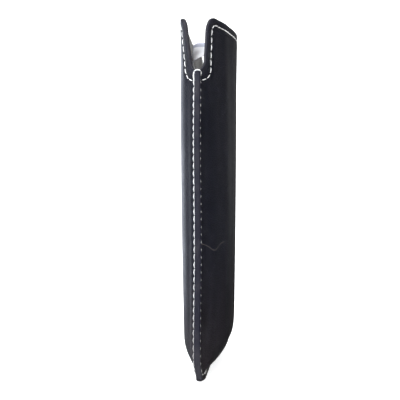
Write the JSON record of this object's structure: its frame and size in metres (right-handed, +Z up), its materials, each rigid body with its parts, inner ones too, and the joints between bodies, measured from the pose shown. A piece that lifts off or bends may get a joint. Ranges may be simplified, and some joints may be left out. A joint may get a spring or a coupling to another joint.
{
  "type": "leather slip case",
  "caption": "Slim stitched leather slip case with an open mouth, finger notches at both sides and a ribbon that lifts out what it holds.",
  "frame": {"origin": "middle of the flat bottom edge, on the plane where the two linings meet", "axes": "+Z up towards the open mouth, +X across the width, the fuller front panel faces -Y"},
  "size_m": [0.078, 0.0225, 0.14],
  "materials": {
    "leather": "fine grain, semi-matt",
    "lining": "napped",
    "board": "matt fibre board",
    "edge": "burnished and coated edge",
    "thread": "waxed thread",
    "ribbon": "woven satin"
  },
  "bodies": {
    "case": {"front_shell": "leather", "back_shell": "leather", "front_stiffener": "board", "back_stiffener": "board", "front_lining": "lining", "back_lining": "lining", "front_mouth_edge": "edge", "back_mouth_edge": "edge", "seam_edge": "edge", "front_seam_stitches": "thread", "back_seam_stitches": "thread", "front_mouth_stitches": "thread", "back_mouth_stitches": "thread", "near_seam_tack": "thread", "far_seam_tack": "thread"},
    "ribbon": {"lift_ribbon": "ribbon"}
  },
  "joints": [
    {"name": "ribbon_lift", "type": "slide", "parent": "case", "child": "ribbon", "axis": [0, 0, 1], "range_m": [0, 0.02]}
  ]
}
